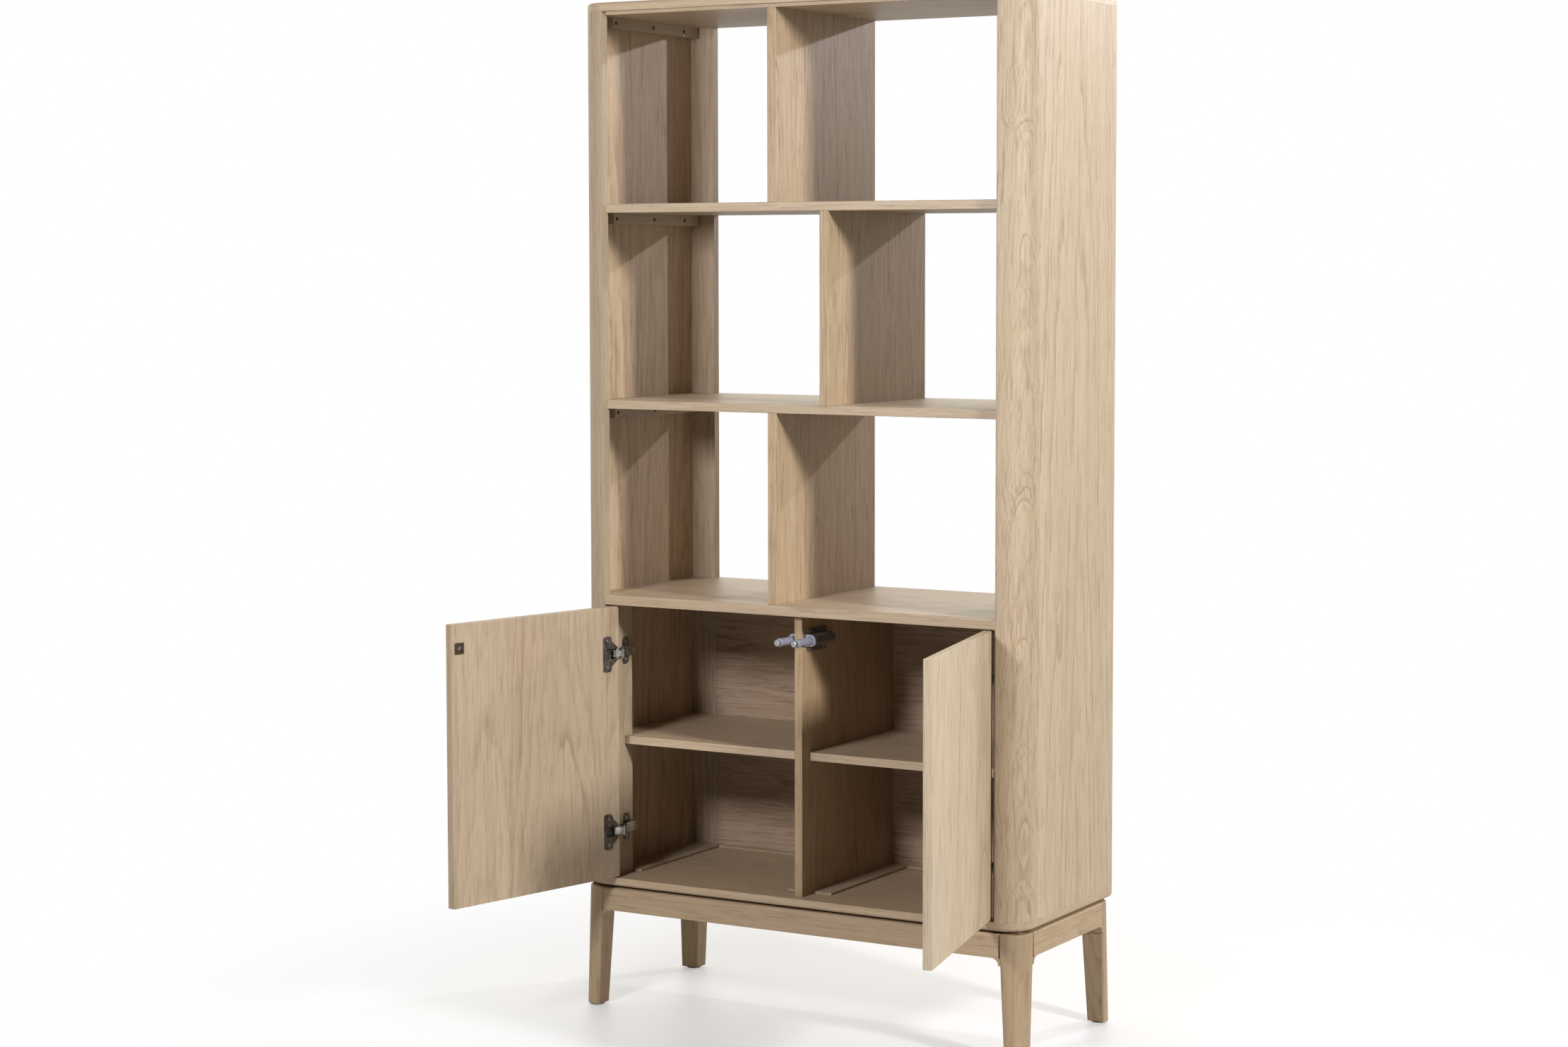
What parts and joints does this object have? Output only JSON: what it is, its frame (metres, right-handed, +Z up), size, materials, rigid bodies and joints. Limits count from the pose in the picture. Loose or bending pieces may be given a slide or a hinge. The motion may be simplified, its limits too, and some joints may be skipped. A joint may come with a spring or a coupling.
{
  "type": "bookcase",
  "caption": "Tall freestanding bookcase: rounded front posts, open shelf rows split by staggered dividers, and a cabinet with hinged doors below, on a frame with tapered legs.",
  "frame": {"origin": "centre of the outline on the floor, midway between the front of the doors as they stand open and the rear of the case", "axes": "+X to the viewer's right, +Y to the rear of the case, +Z up; the doors face -Y"},
  "size_m": [0.9564, 0.7511, 1.84],
  "materials": {
    "base_spacer": "whitewashed oak, matt oiled",
    "bottom_board": "whitewashed oak, matt oiled",
    "cabinet_back_panel": "whitewashed oak, matt oiled",
    "cabinet_floor_battens": "whitewashed oak, matt oiled",
    "cabinet_top_shelf": "whitewashed oak, matt oiled",
    "case_screws": "satin nickel plated steel",
    "centre_divider": "whitewashed oak, matt oiled",
    "cleat_screws": "satin nickel plated steel",
    "foot_glides": "matt moulded plastic",
    "front_left_leg": "whitewashed oak, matt oiled",
    "front_rail": "whitewashed oak, matt oiled",
    "front_right_leg": "whitewashed oak, matt oiled",
    "hinge_arms": "satin nickel plated steel",
    "hinge_cover_caps": "matt moulded plastic",
    "hinge_mounting_plates": "satin nickel plated steel",
    "hinge_pins": "satin nickel plated steel",
    "hinge_plate_screws": "satin nickel plated steel",
    "latch_housings": "matt moulded plastic",
    "latch_screws": "satin nickel plated steel",
    "left_door": "whitewashed oak, matt oiled",
    "left_door_screws": "satin nickel plated steel",
    "left_front_post": "whitewashed oak, matt oiled",
    "left_hinge_cups": "satin nickel plated steel",
    "left_hinge_links": "satin nickel plated steel",
    "left_hinge_stile": "whitewashed oak, matt oiled",
    "left_inner_shelf": "whitewashed oak, matt oiled",
    "left_latch_magnet": "satin nickel plated steel",
    "left_latch_plunger": "matt moulded plastic",
    "left_rear_stile": "whitewashed oak, matt oiled",
    "left_side_panel": "whitewashed oak, matt oiled",
    "left_side_rail": "whitewashed oak, matt oiled",
    "left_strike_plate": "dark brown lacquered steel",
    "lower_row_divider": "whitewashed oak, matt oiled",
    "middle_row_divider": "whitewashed oak, matt oiled",
    "middle_shelf": "whitewashed oak, matt oiled",
    "middle_shelf_cleats": "whitewashed oak, matt oiled",
    "rear_left_leg": "whitewashed oak, matt oiled",
    "rear_rail": "whitewashed oak, matt oiled",
    "rear_right_leg": "whitewashed oak, matt oiled",
    "right_door": "whitewashed oak, matt oiled",
    "right_door_screws": "satin nickel plated steel",
    "right_front_post": "whitewashed oak, matt oiled",
    "right_hinge_cups": "satin nickel plated steel",
    "right_hinge_links": "satin nickel plated steel",
    "right_hinge_stile": "whitewashed oak, matt oiled",
    "right_inner_shelf": "whitewashed oak, matt oiled",
    "right_latch_magnet": "satin nickel plated steel",
    "right_latch_plunger": "matt moulded plastic",
    "right_rear_stile": "whitewashed oak, matt oiled",
    "right_side_panel": "whitewashed oak, matt oiled",
    "right_side_rail": "whitewashed oak, matt oiled",
    "right_strike_plate": "dark brown lacquered steel",
    "shelf_pins": "satin nickel plated steel",
    "top_cleats": "whitewashed oak, matt oiled",
    "top_panel": "whitewashed oak, matt oiled",
    "top_row_divider": "whitewashed oak, matt oiled",
    "upper_shelf": "whitewashed oak, matt oiled",
    "upper_shelf_cleats": "whitewashed oak, matt oiled",
    "wooden_dowels": "whitewashed oak, matt oiled"
  },
  "bodies": {
    "case": {"base_spacer": "base_spacer", "bottom_board": "bottom_board", "cabinet_back_panel": "cabinet_back_panel", "cabinet_floor_battens": "cabinet_floor_battens", "cabinet_top_shelf": "cabinet_top_shelf", "case_screws": "case_screws", "centre_divider": "centre_divider", "cleat_screws": "cleat_screws", "foot_glides": "foot_glides", "front_left_leg": "front_left_leg", "front_rail": "front_rail", "front_right_leg": "front_right_leg", "hinge_arms": "hinge_arms", "hinge_cover_caps": "hinge_cover_caps", "hinge_mounting_plates": "hinge_mounting_plates", "hinge_pins": "hinge_pins", "hinge_plate_screws": "hinge_plate_screws", "latch_housings": "latch_housings", "latch_screws": "latch_screws", "left_front_post": "left_front_post", "left_hinge_stile": "left_hinge_stile", "left_inner_shelf": "left_inner_shelf", "left_rear_stile": "left_rear_stile", "left_side_panel": "left_side_panel", "left_side_rail": "left_side_rail", "lower_row_divider": "lower_row_divider", "middle_row_divider": "middle_row_divider", "middle_shelf": "middle_shelf", "middle_shelf_cleats": "middle_shelf_cleats", "rear_left_leg": "rear_left_leg", "rear_rail": "rear_rail", "rear_right_leg": "rear_right_leg", "right_front_post": "right_front_post", "right_hinge_stile": "right_hinge_stile", "right_inner_shelf": "right_inner_shelf", "right_rear_stile": "right_rear_stile", "right_side_panel": "right_side_panel", "right_side_rail": "right_side_rail", "shelf_pins": "shelf_pins", "top_cleats": "top_cleats", "top_panel": "top_panel", "top_row_divider": "top_row_divider", "upper_shelf": "upper_shelf", "upper_shelf_cleats": "upper_shelf_cleats", "wooden_dowels": "wooden_dowels"},
    "left_door": {"left_door": "left_door", "left_hinge_cups": "left_hinge_cups", "left_door_screws": "left_door_screws", "left_strike_plate": "left_strike_plate"},
    "right_door": {"right_door": "right_door", "right_hinge_cups": "right_hinge_cups", "right_door_screws": "right_door_screws", "right_strike_plate": "right_strike_plate"},
    "left_links": {"left_hinge_links": "left_hinge_links"},
    "right_links": {"right_hinge_links": "right_hinge_links"},
    "left_latch": {"left_latch_plunger": "left_latch_plunger", "left_latch_magnet": "left_latch_magnet"},
    "right_latch": {"right_latch_plunger": "right_latch_plunger", "right_latch_magnet": "right_latch_magnet"}
  },
  "joints": [
    {"name": "left_door_hinge", "type": "hinge", "parent": "case", "child": "left_door", "pos_m": [-0.3891, 0.00555, 0.49575], "axis": [0, 0, 1], "range_deg": [0, 103]},
    {"name": "right_door_hinge", "type": "hinge", "parent": "case", "child": "right_door", "pos_m": [0.3891, 0.00555, 0.49575], "axis": [0, 0, -1], "range_deg": [0, 103]},
    {"name": "left_link_turn", "type": "hinge", "parent": "case", "child": "left_links", "pos_m": [-0.366, 0.01255, 0.49575], "axis": [0, 0, 1], "range_deg": [-48.5, 0]},
    {"name": "right_link_turn", "type": "hinge", "parent": "case", "child": "right_links", "pos_m": [0.366, 0.01255, 0.49575], "axis": [0, 0, -1], "range_deg": [-48.5, 0]},
    {"name": "left_latch_slide", "type": "slide", "parent": "case", "child": "left_latch", "axis": [0, 1, 0], "range_m": [0, 0.0459]},
    {"name": "right_latch_slide", "type": "slide", "parent": "case", "child": "right_latch", "axis": [0, 1, 0], "range_m": [0, 0.0459]}
  ],
  "couplings": [
    {"joint": "left_link_turn", "follows": "left_door_hinge", "ratio": -0.47},
    {"joint": "right_link_turn", "follows": "right_door_hinge", "ratio": -0.47},
    {"joint": "left_latch_slide", "follows": "left_door_hinge", "m_per_rad": 0.025477},
    {"joint": "right_latch_slide", "follows": "right_door_hinge", "m_per_rad": 0.025477}
  ]
}
